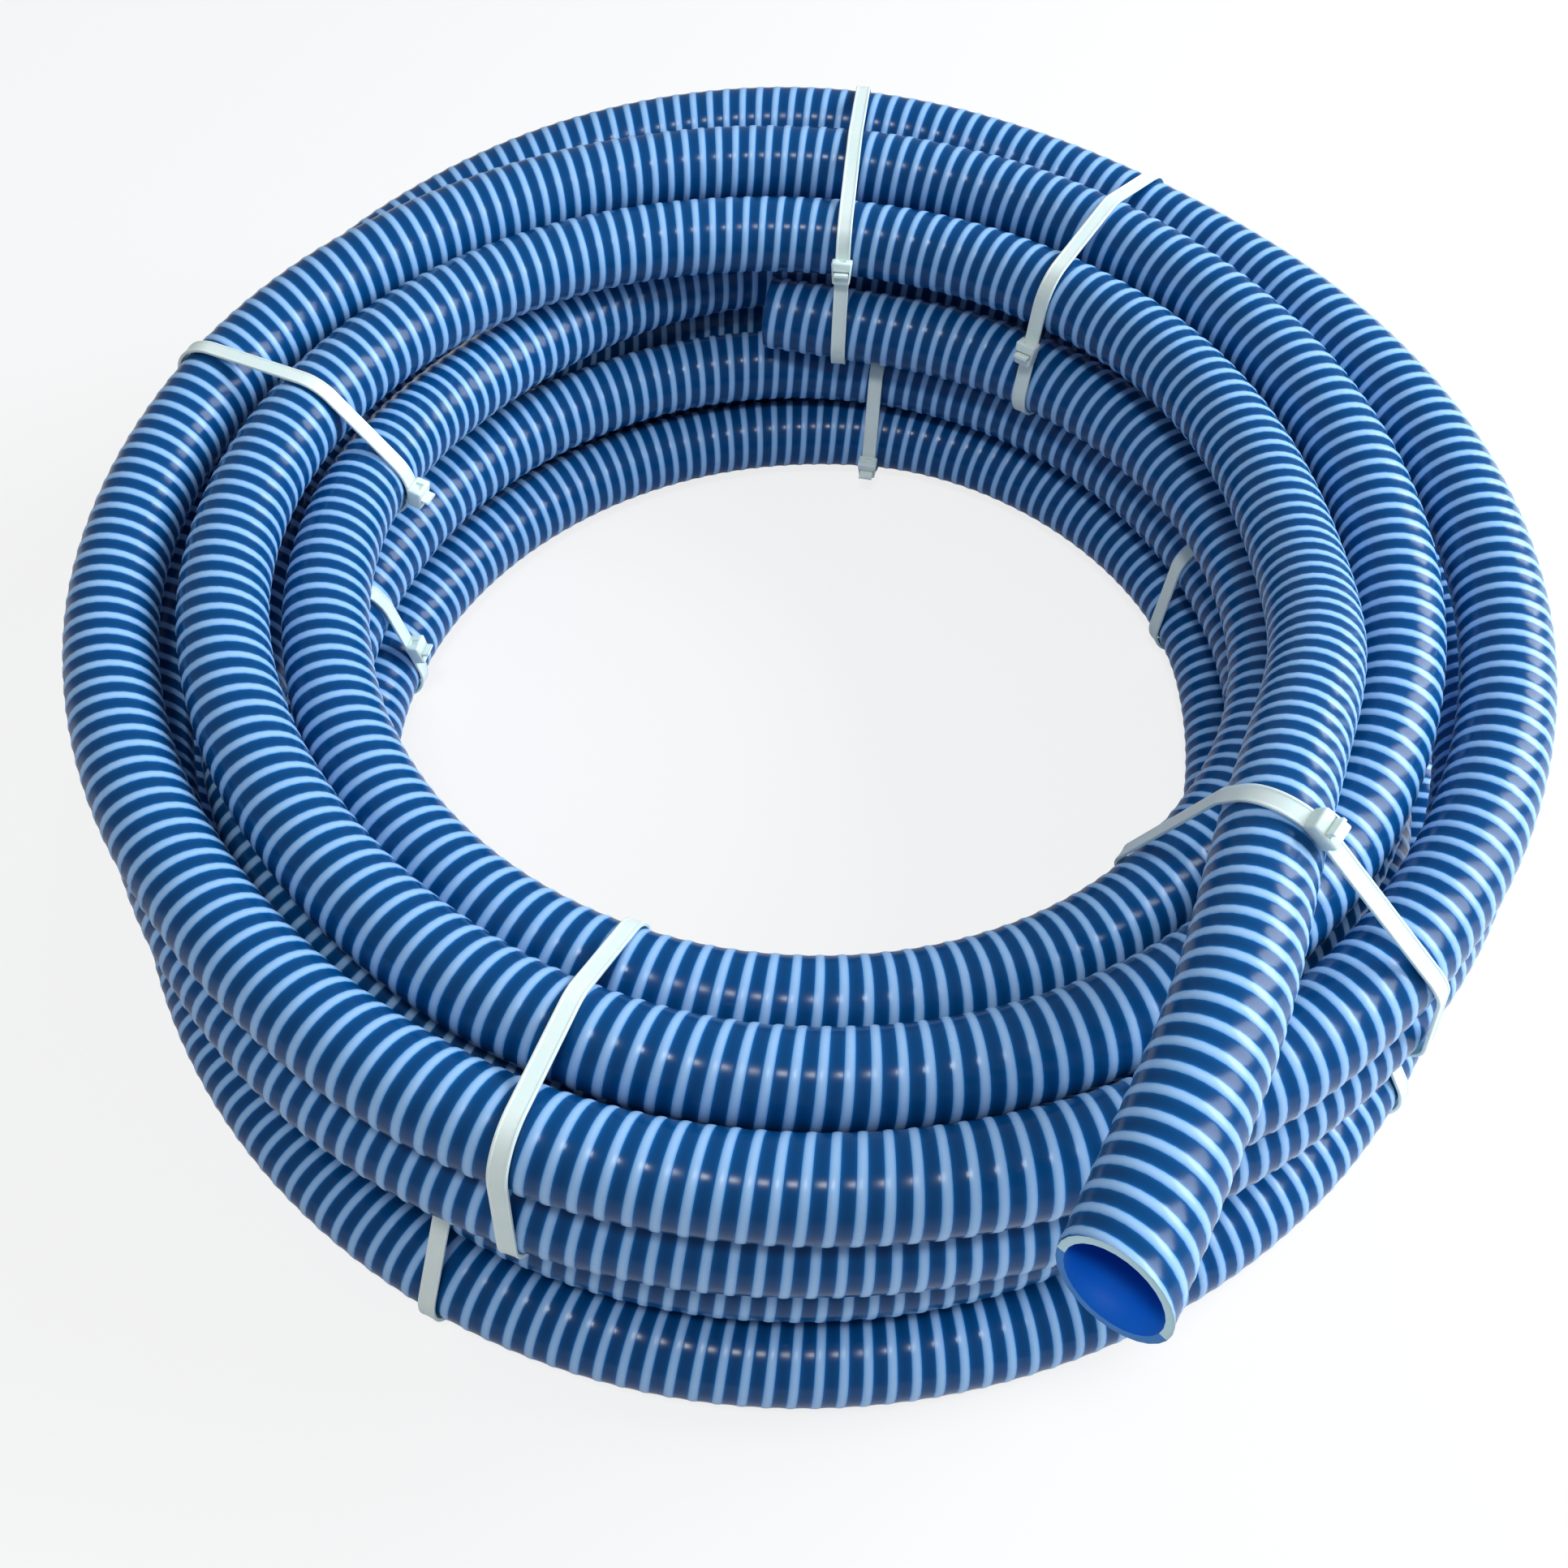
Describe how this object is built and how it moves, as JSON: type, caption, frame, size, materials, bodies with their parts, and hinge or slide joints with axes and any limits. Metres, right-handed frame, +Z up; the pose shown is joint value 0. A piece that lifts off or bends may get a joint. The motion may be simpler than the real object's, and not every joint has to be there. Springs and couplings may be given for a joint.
{
  "type": "vacuum hose",
  "caption": "Blue spiral-reinforced vacuum hose laid in a flat round coil and bound with cable ties, with one open cut end reaching out over the front.",
  "frame": {"origin": "middle of the part's overall box, on the surface that the coil lies on", "axes": "+Z up along the coil's axis, -Y towards the front where the loose end lies, +X to the right seen from the front"},
  "size_m": [0.7739, 0.833, 0.2829],
  "materials": {
    "hose": "glossy flexible PVC with a pale rigid spiral",
    "tie": "pale translucent nylon"
  },
  "bodies": {
    "root": {"hose_coil": "hose", "hose_loose_end": "hose", "hose_loose_mouth": "hose", "hose_inner_mouth": "hose", "tie_upper_back": "tie", "tie_upper_back_right": "tie", "tie_upper_right_front": "tie", "tie_upper_front": "tie", "tie_upper_left": "tie", "tie_lower_back": "tie", "tie_lower_right": "tie", "tie_lower_right_front": "tie", "tie_lower_front": "tie", "tie_lower_left": "tie"}
  },
  "joints": []
}
